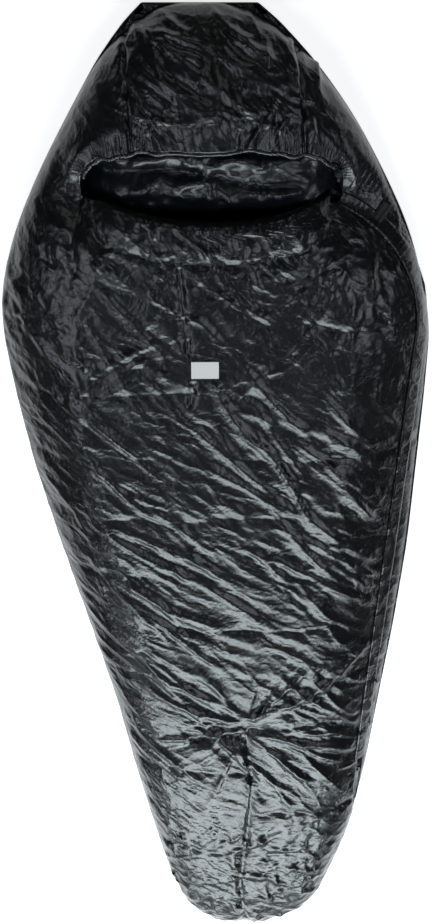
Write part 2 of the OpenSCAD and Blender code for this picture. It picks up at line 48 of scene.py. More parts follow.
# ---------------------------------------------------------------- the bag's shape, as in the CAD
BAG_L, BAG_W, CROWN_H = 2.130, 0.764, 0.128
QUILT_T, SEAM_Z = 0.038, 0.0368
HALF = np.array([
    [-0.5, 0.157], [-0.465, 0.395], [-0.418, 0.492], [-0.347, 0.589], [-0.2535, 0.675],
    [-0.16, 0.741], [-0.066, 0.822], [0.028, 0.898], [0.122, 0.955], [0.1925, 0.9843],
    [0.249, 0.9975], [0.286, 0.961], [0.333, 0.874], [0.38, 0.741], [0.427, 0.584],
    [0.474, 0.395], [0.5, 0.236]])
MIDDLE = np.array([
    [-0.5, 0.157], [-0.465, 0.204], [-0.418, 0.209], [-0.347, 0.215], [-0.2535, 0.199],
    [-0.16, 0.175], [-0.066, 0.139], [0.028, 0.094], [0.122, 0.042], [0.1925, 0.0157],
    [0.249, -0.0025], [0.286, -0.018], [0.333, -0.018], [0.427, -0.026], [0.5, -0.068]])
CROWN = np.array([
    [-0.5, 0.06], [-0.45, 0.45], [-0.4, 0.57], [-0.2, 0.74], [0, 0.91], [0.15, 1],
    [0.3, 0.95], [0.36, 0.86], [0.42, 0.74], [0.48, 0.49], [0.5, 0.31]])
FOOT_Y, HEAD_Y, NECK_Y = -BAG_L / 2, BAG_L / 2, 0.364 * BAG_L
CORNER_L, CORNER_R = (-0.2225, 0.77532), (0.2075, 0.76732)
SLOT, ZIP_INSET, ZIP_Z = 0.014, 0.016, 0.0482
BAFFLES = [0.555 - 0.13 * k for k in range(12)]


def smooth(a, b, x):
    t = np.clip((x - a) / (b - a), 0, 1)
    return t * t * (3 - 2 * t)


def look(table, y):
    """A smoothed lookup of a table along the bag's length."""
    shares = np.asarray(y, float) / BAG_L
    taps = [np.interp(shares + d, table[:, 0], table[:, 1]) for d in (-0.018, -0.009, 0, 0.009, 0.018)]
    ends = smooth(0.0, 0.03, 0.5 - np.abs(shares))
    return ends * np.mean(taps, axis=0) + (1 - ends) * taps[2]


def right_edge(y):
    """Right edge from the tables as they are."""
    return BAG_W / 2 * float(np.interp(y / BAG_L, *MIDDLE.T) + np.interp(y / BAG_L, *HALF.T))


# Zip: a straight run up the right side and an arc from the shoulder to the opening's corner,
# with lengths to a hundredth of a millimetre or finer and angles to a thousandth of a degree
SHOULDER_Y, ZIP_END_Y = 0.25 * BAG_L, -0.26 * BAG_L
ZIP_TOP_X = right_edge(SHOULDER_Y) - ZIP_INSET
ARC_DX, ARC_DY = ZIP_TOP_X - CORNER_R[0], CORNER_R[1] - SHOULDER_Y
arc_r = (ARC_DX ** 2 + ARC_DY ** 2) / (2 * ARC_DX)
lean = math.atan((ZIP_TOP_X - right_edge(ZIP_END_Y) + ZIP_INSET) / (SHOULDER_Y - ZIP_END_Y))
run_top_y = SHOULDER_Y - arc_r * math.sin(lean)
ARC_R, ARC_C = round(arc_r, 5), (round(ZIP_TOP_X - arc_r, 6), SHOULDER_Y)
ARC_END = math.radians(round(math.degrees(math.asin(ARC_DY / arc_r)), 3))
ZIP_LEAN = math.radians(round(math.degrees(lean), 3))
RUN_TOP = (round(ARC_C[0] + ARC_R * math.cos(ZIP_LEAN), 6), round(run_top_y, 6))
RUN_L = round((run_top_y - ZIP_END_Y) / math.cos(lean), 5)


def half_w(y): return BAG_W / 2 * look(HALF, y)
def mid_x(y): return BAG_W / 2 * look(MIDDLE, y)
def left_x(y): return mid_x(y) - half_w(y)
def right_x(y): return mid_x(y) + half_w(y)


def zip_x(y, off):
    """x of the zip line at y, moved outwards by off."""
    y = np.asarray(y, float)
    sx, sy = RUN_TOP[0] + off * math.cos(ZIP_LEAN), RUN_TOP[1] - off * math.sin(ZIP_LEAN)
    arc = ARC_C[0] + np.sqrt(np.maximum(1e-6, (ARC_R + off) ** 2 - (y - ARC_C[1]) ** 2))
    return np.where(y < sy, sx + (y - sy) * math.tan(ZIP_LEAN), arc)


def zip_point(a, off):
    """A point of the zip line, a metres up from its lower end."""
    a = np.asarray(a, float)
    run = a < RUN_L
    back = RUN_L - a
    x = RUN_TOP[0] - math.sin(ZIP_LEAN) * back + off * math.cos(ZIP_LEAN)
    y = RUN_TOP[1] - math.cos(ZIP_LEAN) * back - off * math.sin(ZIP_LEAN)
    angle = -ZIP_LEAN + np.maximum(0, a - RUN_L) / ARC_R
    return (np.where(run, x, ARC_C[0] + (ARC_R + off) * np.cos(angle)),
            np.where(run, y, ARC_C[1] + (ARC_R + off) * np.sin(angle)))


ZIP_LENGTH = RUN_L + ARC_R * (ARC_END + ZIP_LEAN)
ZIP_FOOT_Y = float(zip_point(0, 0)[1])


def top_right(y):
    """Right edge of the front quilt: the zip, then the bag's edge below the zip's end."""
    y = np.asarray(y, float)
    inner = zip_x(np.minimum(y, CORNER_R[1]), -SLOT / 2)
    part = smooth(ZIP_FOOT_Y - 0.17, ZIP_FOOT_Y - 0.02, y)
    return right_x(y) * (1 - part) + inner * part


def end_share(y):
    return np.maximum(0, np.maximum(1 - (y - FOOT_Y) / 0.15, 1 - (HEAD_Y - y) / 0.15))


def edge_share(x, y, lo, hi):
    s = (2 * x - lo - hi) / (hi - lo)
    return np.minimum(1, (np.abs(s) ** 4 + end_share(y) ** 4) ** 0.25)


def crown(y):
    return QUILT_T + (CROWN_H - SEAM_Z - QUILT_T) * look(CROWN, y)


def dome(m, y, p=3.2):
    return SEAM_Z + crown(y) * np.sqrt(np.maximum(0, 1 - m ** p))


# ---------------------------------------------------------------- meshes
def new_piece(name, points, quads, mat, flip=False):
    points, quads = np.asarray(points, np.float32), np.asarray(quads, np.int32)
    if flip:
        quads = quads[:, ::-1]
    me = bpy.data.meshes.new(name)
    me.vertices.add(len(points))
    me.vertices.foreach_set("co", points.ravel())
    sides = quads.shape[1]
    me.loops.add(quads.size)
    me.loops.foreach_set("vertex_index", quads.ravel())
    me.polygons.add(len(quads))
    me.polygons.foreach_set("loop_start", np.arange(0, quads.size, sides, dtype=np.int32))
    me.update(calc_edges=True)
    me.validate()
    me.shade_smooth()
    ob = bpy.data.objects.new(name, me)
    bpy.context.collection.objects.link(ob)
    me.materials.append(mat)
    return ob


def grid_quads(rows, cols, wrap=False):
    idx = np.arange(rows * cols).reshape(rows, cols)
    if wrap:
        idx = np.concatenate([idx, idx[:, :1]], axis=1)
    return np.stack([idx[:-1, :-1], idx[:-1, 1:], idx[1:, 1:], idx[1:, :-1]], -1).reshape(-1, 4)


def skin(name, P, mat, flip=False, wrap=False):
    rows, cols, _ = P.shape
    return new_piece(name, P.reshape(-1, 3), grid_quads(rows, cols, wrap), mat, flip)


def normals(P):
    du, dv = np.gradient(P, axis=1), np.gradient(P, axis=0)
    n = np.cross(du, dv)
    return n / np.maximum(1e-9, np.linalg.norm(n, axis=2, keepdims=True))


def finer(P, k=2):
    """The same surface with k times the rows and columns, by cubic rows then columns."""
    def along(A):
        n = len(A)
        t = np.linspace(0, n - 1, (n - 1) * k + 1)
        i = np.clip(t.astype(int), 0, n - 2)
        f = (t - i)[:, None, None]
        a, b = A[np.maximum(i - 1, 0)], A[i]
        c, d = A[i + 1], A[np.minimum(i + 2, n - 1)]
        return b + 0.5 * f * (c - a + f * (2 * a - 5 * b + 4 * c - d + f * (3 * (b - c) + d - a)))
    return along(along(P).transpose(1, 0, 2)).transpose(1, 0, 2)


def even(line, count):
    """count points spaced evenly along a line of points."""
    gap = np.concatenate([[0], np.cumsum(np.linalg.norm(np.diff(line, axis=0), axis=1))])
    at = np.linspace(0, gap[-1], count)
    return np.stack([np.interp(at, gap, line[:, k]) for k in range(line.shape[1])], -1)


def tube(name, path, radius, mat, sides=12, caps=True):
    """A round tube along a path; radius may change along it."""
    path = np.asarray(path, float)
    r = np.broadcast_to(np.asarray(radius, float), (len(path),))
    t = np.gradient(path, axis=0)
    t /= np.linalg.norm(t, axis=1, keepdims=True)
    up = np.where(np.abs(t[:, 2:3]) > 0.9, [[1.0, 0, 0]], [[0, 0, 1.0]])
    n = np.cross(t, up)
    n /= np.linalg.norm(n, axis=1, keepdims=True)
    b = np.cross(n, t)
    a = np.linspace(0, 2 * np.pi, sides, endpoint=False)
    ring = np.cos(a)[None, :, None] * n[:, None] + np.sin(a)[None, :, None] * b[:, None]
    P = path[:, None] + r[:, None, None] * ring
    if caps:
        ends = [np.broadcast_to(end, (1, sides, 3)) for end in (path[:1, None], path[-1:, None])]
        P = np.concatenate([ends[0], P, ends[1]])
    return skin(name, P, mat, wrap=True)


# ---------------------------------------------------------------- folds of thin cloth
def fold_field(x, y, folds):
    """Height of many folds. Each is a ridge: place, direction, half length, width, height, bend."""
    h = np.zeros_like(x)
    for cx, cy, a, length, w, amp, bend in folds:
        reach = length + 4 * w
        near = (np.abs(x - cx) < reach) & (np.abs(y - cy) < reach)
        if not near.any():
            continue
        dx, dy = x[near] - cx, y[near] - cy
        u = dx * math.cos(a) + dy * math.sin(a)
        v = dy * math.cos(a) - dx * math.sin(a) + bend * u * u
        along = np.maximum(0, 1 - (u / length) ** 2) ** 1.5
        t = v / w
        h[near] += amp * along * (np.exp(-np.sqrt(t * t + 0.06)) - 0.42 * np.exp(-(t / 2.4) ** 2))
    return h


STAR = (0.061, -0.356)


def front_direction(x, y):
    """Which way the front's folds run at a point."""
    dx, dy = x - STAR[0], y - STAR[1]
    near = math.exp(-(dx * dx + dy * dy) / 0.03)
    if rng.random() < near:
        return math.atan2(dy, dx) + rng.normal(0, 0.12)
    if y > 0.42:
        if x > 0.12:
            return math.atan2(y - 0.80, x - 0.26) + rng.normal(0, 0.35)
        if x < -0.2:
            return math.radians(-80) + rng.normal(0, 0.35)
        return rng.choice([math.radians(-12), math.radians(-60), math.radians(35)]) + rng.normal(0, 0.4)
    if y > -0.62:
        return math.radians(-42) + rng.normal(0, 0.34) + 0.4 * min(0, y + 0.2)
    return rng.choice([math.radians(-70), math.radians(-35), math.radians(40)]) + rng.normal(0, 0.35)


def scatter(count, length, width, height, region, direction):
    folds = []
    for _ in range(count):
        x, y = rng.uniform(region[0], region[1]), rng.uniform(region[2], region[3])
        size = rng.random() ** 1.6
        long = length[0] + size * (length[1] - length[0])
        folds.append((x, y, direction(x, y), long, width[0] + rng.random() * (width[1] - width[0]),
                      height[0] + rng.random() * (height[1] - height[0]), rng.normal(0, 0.8)))
    return folds


# ---------------------------------------------------------------- the outer surface
zip_steps = np.linspace(0, ZIP_LENGTH, 160)
ZX, ZY = zip_point(zip_steps, 0)
ZIP_DROP = dome(edge_share(ZX, ZY, left_x(ZY), right_x(ZY)), ZY) - 0.064


def zip_distance(x, y):
    round_arc = np.abs(np.hypot(x - ARC_C[0], y - ARC_C[1]) - ARC_R)
    straight = np.abs(x - zip_x(np.minimum(y, RUN_TOP[1]), 0))
    return np.where(y > RUN_TOP[1], round_arc, straight) + np.maximum(0, ZIP_FOOT_Y - y)


def outer(x, y):
    """Height of the bag's top: one dome, lower along the zip and where the opening's corners are drawn in."""
    z = dome(edge_share(x, y, left_x(y), right_x(y)), y)
    flat_x, flat_y, drop = x.ravel(), y.ravel(), np.zeros(x.size)
    for k in range(0, x.size, 20000):
        part = slice(k, k + 20000)
        d2 = (flat_x[part, None] - ZX) ** 2 + (flat_y[part, None] - ZY) ** 2
        near = d2.argmin(axis=1)
        drop[part] = ZIP_DROP[near] * np.exp(-d2.min(axis=1) / 0.05 ** 2)
    z = z - drop.reshape(x.shape)
    z = z - 0.022 * np.exp(-((x - CORNER_L[0]) ** 2 + (y - NECK_Y) ** 2) / 0.045 ** 2)
    return np.maximum(z, SEAM_Z)


def chin_dip(x, y):
    u = np.clip((x - CORNER_L[0]) / (CORNER_R[0] - CORNER_L[0]), 0, 1)
    return 0.050 * 4 * u * (1 - u) * np.clip((y + 0.2) / (CORNER_L[1] + 0.2), 0, 1) ** 4


def front_grid(rows, cols):
    """The front's outer surface from the foot to the neck, left seam to zip, evenly spaced."""
    yy = np.linspace(FOOT_Y, CORNER_L[1], 1600)
    profile = np.stack([yy, dome(end_share(yy), yy)], -1)
    out = []
    for y in even(profile, rows)[:, 0]:
        s = np.sin(np.linspace(-1, 1, 500) * np.pi / 2)
        lo, hi = float(left_x(y)), float(top_right(y))
        x = lo + (hi - lo) * (s + 1) / 2
        yr = np.full_like(x, y)
        yr = yr - chin_dip(x, yr)
        out.append(even(np.stack([x, yr, outer(x, yr)], -1), cols))
    return np.array(out)


FACE_X, FACE_HALF_W, BROW_RISE = -0.0075, 0.217, 0.083


def hood_edge(u, inside=0.0):
    """A point of the brow, from the left corner of the opening round to the right one."""
    c, s = np.cos(np.pi * (1 - u)), np.sin(np.pi * (1 - u))
    waver = (0.0026 * np.sin(u * 37) + 0.0018 * np.sin(u * 83 + 1)) * np.abs(s)
    return (FACE_X + (FACE_HALF_W - inside) * np.sign(c) * np.abs(c) ** 0.6,
            NECK_Y + (BROW_RISE - inside) * np.abs(s) ** 0.55 + waver)


def hood_rim(u):
    side = 0.4
    start = NECK_Y
    y = np.where(u <= side, start + (HEAD_Y - start) * u / side,
                 np.where(u >= 1 - side, start + (HEAD_Y - start) * (1 - u) / side, HEAD_Y))
    across = np.clip((u - side) / (1 - 2 * side), 0, 1)
    x = np.where(u <= side, left_x(y), np.where(u >= 1 - side, right_x(y),
                 left_x(HEAD_Y) + (right_x(HEAD_Y) - left_x(HEAD_Y)) * across))
    return x, y


def hood_grid(rows, cols):
    u = np.linspace(0, 1, cols)
    bx, by = hood_edge(u)
    rx, ry = hood_rim(u)
    out = np.zeros((rows, cols, 3))
    for j in range(cols):
        v = 1 - np.cos(np.linspace(0, 1, 300) * np.pi / 2)
        v = v[::-1] * -1 + 1
        x, y = bx[j] + (rx[j] - bx[j]) * v, by[j] + (ry[j] - by[j]) * v
        out[:, j] = even(np.stack([x, y, outer(x, y)], -1), rows)
    return out


def down_edge(P, depth, steps=4, tuck=0.001):
    """Columns added at the last column that turn the cloth down to a lower level."""
    last = P[:, -1:]
    cols = []
    for k in range(1, steps + 1):
        c = last.copy()
        c[..., 2] = last[..., 2] + (np.minimum(last[..., 2], depth) - last[..., 2]) * k / steps
        c[..., 0] += tuck * math.sin(math.pi * k / steps)
        cols.append(c)
    return np.concatenate([P] + cols, axis=1)


def groove(x, y, line, depth, width):
    """Height of a groove along a line of plan points."""
    line = np.asarray(line, float)
    best = np.full(x.shape, 9.0)
    for a, b in zip(line[:-1], line[1:]):
        ab = b - a
        t = np.clip(((x - a[0]) * ab[0] + (y - a[1]) * ab[1]) / (ab @ ab), 0, 1)
        best = np.minimum(best, np.hypot(x - a[0] - t * ab[0], y - a[1] - t * ab[1]))
    return -depth * np.exp(-(best / width) ** 1.4)


# ---------------------------------------------------------------- materials
def colour(code):
    """Linear colour of an sRGB hex code."""
    c = [int(code[k:k + 2], 16) / 255 for k in (1, 3, 5)]
    return [v / 12.92 if v <= 0.04045 else ((v + 0.055) / 1.055) ** 2.4 for v in c] + [1.0]


def add_node(tree, kind, place=(0, 0), **settings):
    """A node with its settings; a tuple (node, output) links to an input, and other values are set."""
    node = tree.nodes.new(kind)
    node.location = place
    for key, value in settings.items():
        if key.startswith("at_"):
            socket = node.inputs[int(key[3:])]
        elif key in node.inputs:
            socket = node.inputs[key]
        elif key.replace("_", " ") in node.inputs:
            socket = node.inputs[key.replace("_", " ")]
        else:
            setattr(node, key, value)
            continue
        if isinstance(value, tuple) and isinstance(value[0], bpy.types.Node):
            tree.links.new(value[0].outputs[value[1]], socket)
        else:
            socket.default_value = value
    return node


def new_material(name, code, roughness, metallic=0.0):
    mat = bpy.data.materials.new(name)
    mat.use_nodes = True
    shader = mat.node_tree.nodes["Principled BSDF"]
    shader.inputs["Base Color"].default_value = colour(code)
    shader.inputs["Roughness"].default_value = roughness
    shader.inputs["Metallic"].default_value = metallic
    return mat, mat.node_tree, shader


def crinkled_cloth(name, code, roughness, crinkle, weave):
    """Thin woven nylon: fine creases with flat faces between them, and a weave of about 0.4 mm."""
    mat, tree, shader = new_material(name, code, roughness)
    at = add_node(tree, "ShaderNodeTexCoord")
    bend = add_node(tree, "ShaderNodeTexNoise", Vector=(at, "Object"), Scale=14.0, Detail=2.0)
    mixed = add_node(tree, "ShaderNodeMix", data_type="RGBA", blend_type="LINEAR_LIGHT",
                     at_0=0.025, at_6=(at, "Object"), at_7=(bend, "Color"))
    turned = add_node(tree, "ShaderNodeMapping", Vector=(mixed, 2), Rotation=(0, 0, math.radians(30)))
    long = add_node(tree, "ShaderNodeMapping", Vector=(turned, 0), Scale=(0.22, 1.0, 1.0))
    wide = add_node(tree, "ShaderNodeTexVoronoi", feature="SMOOTH_F1", Vector=(long, 0),
                    Scale=42.0, Smoothness=0.15)
    fine = add_node(tree, "ShaderNodeTexVoronoi", feature="SMOOTH_F1", Vector=(mixed, 2),
                    Scale=120.0, Smoothness=0.2)
    threads = add_node(tree, "ShaderNodeTexNoise", Vector=(at, "Object"), Scale=2600.0, Detail=1.0)
    b1 = add_node(tree, "ShaderNodeBump", Height=(wide, "Distance"), Strength=1.0, Distance=0.0028 * crinkle)
    b2 = add_node(tree, "ShaderNodeBump", Height=(fine, "Distance"), Strength=1.0,
                  Distance=0.0005 * crinkle, Normal=(b1, 0))
    b3 = add_node(tree, "ShaderNodeBump", Height=(threads, 0), Strength=1.0,
                  Distance=0.0001 * weave, Normal=(b2, 0))
    tree.links.new(b3.outputs[0], shader.inputs["Normal"])
    patches = add_node(tree, "ShaderNodeTexNoise", Vector=(at, "Object"), Scale=9.0, Detail=3.0)
    rough = add_node(tree, "ShaderNodeMapRange", Value=(patches, 0),
                     To_Min=roughness - 0.06, To_Max=roughness + 0.09)
    tree.links.new(rough.outputs[0], shader.inputs["Roughness"])
    return mat


# Calendered nylon, black and glossy, as on a thin outer shell
shell_mat = crinkled_cloth("shell_nylon", "#0b0c0e", 0.25, 1.0, 1.0)
# Soft taffeta, satin
lining_mat = crinkled_cloth("lining_nylon", "#15161a", 0.28, 0.8, 1.0)
# Woven polyester tape, matt
tape_mat = new_material("zip_tape", "#101113", 0.8)[0]
# Extruded nylon coil, semi-gloss
coil_mat = new_material("zip_coil", "#18191b", 0.38)[0]
# Brushed loop pile, matt
loop_mat = new_material("loop_pile", "#1c1d1f", 0.95)[0]
# Damask woven label, white, matt
label_mat = new_material("label_weave", "#eae6e0", 0.8)[0]
# Woven nylon tab, matt
tab_mat = new_material("tab_webbing", "#17181a", 0.7)[0]
# Braided polyester cord, matt
cord_mat = new_material("cord_braid", "#141517", 0.75)[0]
# Moulded acetal, satin
lock_mat = new_material("lock_plastic", "#1a1b1d", 0.35)[0]
# Drawn spring wire
spring_mat = new_material("spring_steel", "#b9bcc0", 0.3, 1.0)[0]
# Black enamel on zinc
slider_mat = new_material("slider_enamel", "#141517", 0.32)[0]
pull_mat = new_material("pull_enamel", "#191a1c", 0.35)[0]

# ---------------------------------------------------------------- folds of this bag
def line_fold(x0, y0, x1, y1, width, height, bend=0.0):
    """A fold between two plan points."""
    dx, dy = x1 - x0, y1 - y0
    return (x0 + x1) / 2, (y0 + y1) / 2, math.atan2(dy, dx), math.hypot(dx, dy) / 1.5, width, height, bend


# The star where the lining is stitched through, and the long folds that run from it
star_folds = [line_fold(STAR[0], STAR[1], x, y, w, h, 0.7 * (x * 100 % 3 - 1) * h / w) for x, y, w, h in [
    (0.192, -0.188, 0.013, 0.018), (0.330, -0.175, 0.014, 0.020), (0.345, -0.46, 0.013, 0.017),
    (0.229, -0.556, 0.012, 0.017), (0.265, -0.83, 0.014, 0.014), (0.081, -0.681, 0.010, 0.015),
    (-0.02, -0.60, 0.012, 0.013), (-0.11, -0.40, 0.011, 0.016), (-0.16, -0.26, 0.014, 0.015),
    (-0.03, -0.19, 0.012, 0.013), (0.09, -0.16, 0.012, 0.012)]]
long_folds = [
    line_fold(0.035, -0.66, 0.050, -1.03, 0.012, 0.010), line_fold(0.10, -0.72, 0.13, -0.99, 0.014, 0.006),
    line_fold(0.221, 0.707, 0.318, 0.54, 0.016, 0.009), line_fold(0.221, 0.707, 0.128, 0.526, 0.015, 0.008),
    line_fold(0.215, 0.712, 0.287, 0.703, 0.012, 0.007), line_fold(0.235, 0.70, 0.225, 0.50, 0.018, 0.006),
    line_fold(-0.10, 0.62, -0.19, 0.44, 0.016, 0.006), line_fold(-0.26, 0.40, -0.05, 0.26, 0.014, 0.008),
    line_fold(-0.30, 0.20, 0.06, 0.02, 0.014, 0.009), line_fold(-0.05, 0.30, 0.25, 0.12, 0.014, 0.008),
    line_fold(-0.24, 0.05, 0.08, -0.14, 0.013, 0.009), line_fold(0.08, 0.10, 0.33, -0.06, 0.013, 0.008),
    line_fold(-0.20, -0.10, 0.02, -0.26, 0.014, 0.008), line_fold(0.12, 0.34, 0.34, 0.22, 0.013, 0.007)]
chest_folds = [line_fold(x0, y0, x1, y1, w, h) for x0, y0, x1, y1, w, h in [
    (0.20, 0.66, 0.06, 0.56, 0.008, 0.006), (0.22, 0.64, 0.10, 0.47, 0.009, 0.007),
    (0.24, 0.62, 0.17, 0.42, 0.009, 0.007), (0.26, 0.64, 0.27, 0.44, 0.009, 0.006),
    (0.28, 0.62, 0.34, 0.45, 0.009, 0.006), (-0.16, 0.64, -0.02, 0.56, 0.008, 0.006),
    (-0.20, 0.63, -0.09, 0.50, 0.009, 0.007), (-0.24, 0.60, -0.15, 0.42, 0.009, 0.007),
    (-0.27, 0.58, -0.26, 0.38, 0.009, 0.006), (0.02, 0.62, 0.12, 0.54, 0.008, 0.005),
    (-0.30, 0.52, -0.20, 0.36, 0.010, 0.007), (-0.06, 0.60, -0.16, 0.53, 0.007, 0.005),
    (0.00, 0.54, 0.09, 0.43, 0.008, 0.006), (-0.13, 0.47, -0.06, 0.38, 0.008, 0.006),
    (0.03, 0.40, 0.14, 0.36, 0.008, 0.005)]]
slant_folds = [(rng.uniform(-0.28, 0.34), 0.40 - 0.0165 * k + rng.normal(0, 0.012),
                math.radians(-44) + rng.normal(0, 0.16), rng.uniform(0.08, 0.20),
                rng.uniform(0.009, 0.016), rng.uniform(0.008, 0.014), rng.normal(0, 0.7)) for k in range(56)]
foot_folds = scatter(60, (0.05, 0.14), (0.008, 0.015), (0.004, 0.009),
                     (-0.12, 0.24, -1.04, -0.60), front_direction)
FRONT_AREA = (-0.38, 0.40, -1.05, 0.76)
folds_big = slant_folds + chest_folds + foot_folds + scatter(
    230, (0.04, 0.15), (0.007, 0.014), (0.003, 0.008), FRONT_AREA, front_direction)
folds_mid = scatter(1300, (0.018, 0.08), (0.0035, 0.008), (0.0010, 0.0028), FRONT_AREA, front_direction)
folds_fine = scatter(2600, (0.008, 0.040), (0.0020, 0.0034), (0.0001, 0.0004), FRONT_AREA, front_direction)
LABEL = (-0.01994, 0.47819)


def calm(x, y):
    """How much of the folds is left near the sewn edges and under the label."""
    edge = edge_share(x, y, left_x(y), right_x(y))
    label = np.maximum(np.abs(x - LABEL[0]) / 0.030, np.abs(y - LABEL[1]) / 0.022)
    off_zip = smooth(0.004, 0.035, zip_distance(x, y))
    return (1 - 0.75 * smooth(0.93, 1.0, edge)) * smooth(0.9, 1.5, label) * off_zip


def baffle_seams(x, y):
    """Cross seams: the quilt is thin along each and full between them."""
    wave = 0.006 * np.sin(x * 17) + 0.004 * np.sin(x * 41 + 1.3)
    h = np.zeros_like(x)
    for k, b in enumerate(BAFFLES):
        d = y - b - wave * math.cos(2.1 * k)
        h -= 0.0032 * (0.6 + 0.4 * np.sin(x * 9 + 2.7 * k)) * np.exp(-(np.abs(d) / 0.012) ** 1.3)
    return h + 0.001


def front_relief(x, y):
    h = fold_field(x, y, star_folds + long_folds + folds_big) + baffle_seams(x, y)
    h += groove(x, y, [(-0.222, 0.773), (-0.243, 0.70), (-0.240, 0.65)], 0.006, 0.007)
    h += groove(x, y, [(-0.064, 0.667), (-0.054, 0.544), (-0.043, 0.449), (-0.047, 0.409)], 0.007, 0.006)
    h += groove(x, y, [(-0.05, -0.392), (0.045, -0.380)], 0.012, 0.010)
    h += groove(x, y, [(0.062, -0.37), (0.078, -0.52), (0.070, -0.68), (0.055, -0.85), (0.069, -1.0)],
                0.009, 0.009)
    d = np.hypot(x - STAR[0], y - STAR[1])
    return h * calm(x, y) - 0.012 * np.exp(-(d / 0.022) ** 2)


def moved(P, h):
    return P + normals(P) * h[..., None]


def spread_out(z, reach):
    """Mean over reach cells each way."""
    for axis in (0, 1):
        z = np.moveaxis(z, axis, 0)
        c = np.cumsum(np.concatenate([np.repeat(z[:1], reach + 1, 0), z, np.repeat(z[-1:], reach, 0)]), axis=0)
        z = np.moveaxis((c[2 * reach + 1:] - c[:-2 * reach - 1]) / (2 * reach + 1), 0, axis)
    return z


def held_down(P, level=0.1215, start=0.130, room=0.0075):
    """The cloth settles to level on average, and folds above start are pressed into the room above it."""
    P = P.copy()
    P[..., 2] -= np.maximum(0, spread_out(spread_out(P[..., 2], 10), 6) - level)
    over = np.maximum(0, P[..., 2] - start)
    P[..., 2] = np.minimum(P[..., 2], start) + room * np.tanh(over / room)
    return P


def simulate(name, P, rest, pin, pressure, frames, cap):
    """Cloth from P with the lengths of rest, held where pin is 1. It moves at most cap."""
    ob = skin(name, P, shell_mat)
    ob.shape_key_add(name="Basis")
    key = ob.shape_key_add(name="cut")
    key.data.foreach_set("co", rest.astype(np.float32).ravel())
    group = ob.vertex_groups.new(name="pin")
    for level in (1.0, 0.5):
        group.add(np.nonzero(np.isclose(pin.ravel(), level))[0].tolist(), level, "REPLACE")
    cloth = ob.modifiers.new("cloth", "CLOTH")
    s = cloth.settings
    s.quality, s.mass, s.air_damping = 5, 0.12, 3.0
    s.tension_stiffness = s.compression_stiffness = 12
    s.shear_stiffness, s.bending_stiffness = 4, 0.8
    s.tension_damping = s.compression_damping = s.shear_damping = 8
    s.vertex_group_mass = "pin"
    s.pin_stiffness = 1.0
    s.use_pressure, s.uniform_pressure_force = True, pressure
    s.effector_weights.gravity = 0
    s.rest_shape_key = key
    cloth.collision_settings.use_collision = False
    cloth.point_cache.frame_start, cloth.point_cache.frame_end = 1, frames
    scene = bpy.context.scene
    for f in range(1, frames + 1):
        scene.frame_set(f)
    done = ob.evaluated_get(bpy.context.evaluated_depsgraph_get()).to_mesh()
    out = np.empty(len(done.vertices) * 3, np.float32)
    done.vertices.foreach_get("co", out)
    out = out.reshape(P.shape).astype(float)
    scene.frame_set(1)
    bpy.data.objects.remove(ob, do_unlink=True)
    step = out - P
    far = np.linalg.norm(step, axis=2, keepdims=True)
    return P + step * np.minimum(1, cap / np.maximum(far, 1e-9))


FRONT_ROWS, FRONT_COLS = 321, 113
front0 = front_grid(FRONT_ROWS, FRONT_COLS)
relief = front_relief(front0[..., 0], front0[..., 1])
COLLAR = 0.056
chin_y = CORNER_L[1] - chin_dip(front0[..., 0], front0[..., 1] * 0 + CORNER_L[1])
to_chin = chin_y - front0[..., 1]
between = (smooth(CORNER_L[0] - 0.004, CORNER_L[0] + 0.03, front0[..., 0])
           * smooth(CORNER_R[0] + 0.03, CORNER_R[0] - 0.03, front0[..., 0]))
t = np.clip(to_chin / COLLAR, 0, 1.6)
collar = 0.005 * np.sin(np.pi * np.clip(t, 0, 1)) ** 0.9 - 0.0015 * np.exp(-((to_chin - COLLAR) / 0.007) ** 2)
gather_at = front0[..., 0] * 330 + 3.0 * np.sin(front0[..., 0] * 23) + 2.0 * np.sin(front0[..., 0] * 57)
gathers = 0.0016 * (np.abs(np.sin(gather_at / 2)) - 0.6) * smooth(1.5, 0.7, t)
collar_folds = scatter(120, (0.02, 0.07), (0.004, 0.009), (0.002, 0.006), (-0.21, 0.20, 0.64, 0.77),
                       lambda x, y: rng.choice([-0.9, 0.8, -0.3, 1.5]) + rng.normal(0, 0.4))
gathers = gathers + fold_field(front0[..., 0], front0[..., 1], collar_folds)
relief = relief * (1 - between * smooth(1.25, 1.0, t) * 0.8) + between * (collar + gathers)
front_start = moved(front0, relief)
hold = np.zeros(front0.shape[:2])
hold[np.abs(to_chin) < 0.008] = 0.5
hold[:2], hold[-1:], hold[:, :2], hold[:, -2:] = 1.0, 1.0, 1.0, 1.0
front1 = simulate("front_cloth", front_start, moved(front0, relief * 1.9), hold, 1.2, 16, 0.025)

front2 = finer(front1, 2)
fx, fy = front2[..., 0], front2[..., 1]
in_collar = finer((between * smooth(1.2, 1.0, t))[..., None], 2)[..., 0]
front2 = moved(front2, fold_field(fx, fy, folds_mid + folds_fine) * calm(fx, fy) * (1 - 0.3 * in_collar))
front3 = down_edge(held_down(front2), 0.0495)

# Shell panels: the foot's, the chest's and the neck baffle, which share their edges
rows, cols, _ = front3.shape
row_of = np.arange(rows)[:, None] + np.zeros(cols, int)
col_of = np.arange(cols)[None] + np.zeros(rows, int)[:, None]
FOOT_PANEL_END = -0.225
cut_row = int(np.argmin(np.abs(front3[:, cols // 2, 1] - FOOT_PANEL_END)))
collar_mid = int(np.argmin(np.abs(front3[:, cols // 2, 1] - (0.7243 - COLLAR))))
left_col = int(np.argmin(np.abs(front3[-1, :, 0] - CORNER_L[0])))
is_collar = (row_of >= collar_mid) & (col_of >= left_col)


